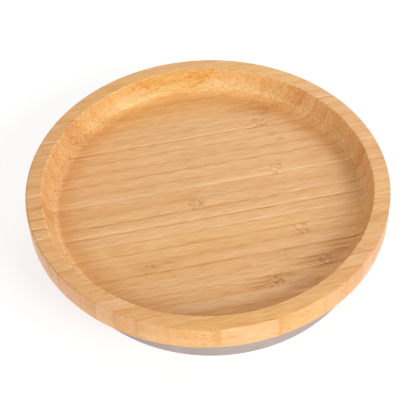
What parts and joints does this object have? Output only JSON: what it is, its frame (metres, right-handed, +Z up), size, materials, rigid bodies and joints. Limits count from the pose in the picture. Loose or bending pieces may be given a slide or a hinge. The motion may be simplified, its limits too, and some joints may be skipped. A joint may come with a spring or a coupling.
{
  "type": "suction bowl",
  "caption": "Shallow round bamboo bowl for a small child, glued from strips on edge, standing on a removable silicone suction ring with a release tab.",
  "frame": {"origin": "centre of the table face, under the middle of the bowl", "axes": "+Z up, +X along the grain of the bamboo, +Y towards the release tab"},
  "size_m": [0.18, 0.18, 0.038],
  "materials": {
    "bamboo": "sanded, oiled satin",
    "silicone": "matte moulded silicone"
  },
  "bodies": {
    "skirt": {"suction_skirt": "silicone"},
    "collar": {"suction_collar": "silicone"},
    "bowl": {"bamboo_strip_01": "bamboo", "bamboo_strip_02": "bamboo", "bamboo_strip_03": "bamboo", "bamboo_strip_04": "bamboo", "bamboo_strip_05": "bamboo", "bamboo_strip_06": "bamboo", "bamboo_strip_07": "bamboo", "bamboo_strip_08": "bamboo", "bamboo_strip_09": "bamboo", "bamboo_strip_10": "bamboo", "bamboo_strip_11": "bamboo", "bamboo_strip_12": "bamboo", "bamboo_strip_13": "bamboo", "bamboo_strip_14": "bamboo", "bamboo_strip_15": "bamboo", "bamboo_strip_16": "bamboo", "bamboo_strip_17": "bamboo", "bamboo_strip_18": "bamboo", "bamboo_strip_19": "bamboo", "bamboo_strip_20": "bamboo", "bamboo_strip_21": "bamboo", "bamboo_strip_22": "bamboo", "bamboo_strip_23": "bamboo", "bamboo_strip_24": "bamboo", "bamboo_strip_25": "bamboo", "bamboo_strip_26": "bamboo", "bamboo_strip_27": "bamboo"},
    "tab": {"release_tab": "silicone"}
  },
  "joints": [
    {"name": "suction_press", "type": "slide", "parent": "skirt", "child": "collar", "axis": [0, 0, 1], "range_m": [-0.0025, 0], "stiffness_N_per_m": 4000, "springref_m": 0.002, "deforming": ["suction_skirt"]},
    {"name": "bowl_lift", "type": "slide", "parent": "collar", "child": "bowl", "axis": [0, 0, 1], "range_m": [0, 0.03]},
    {"name": "tab_bend", "type": "hinge", "parent": "skirt", "child": "tab", "pos_m": [0, 0.07935, 0.0013], "axis": [1, 0, 0], "range_deg": [0, 60], "stiffness_Nm_per_rad": 0.02, "springref_deg": -5.73}
  ]
}
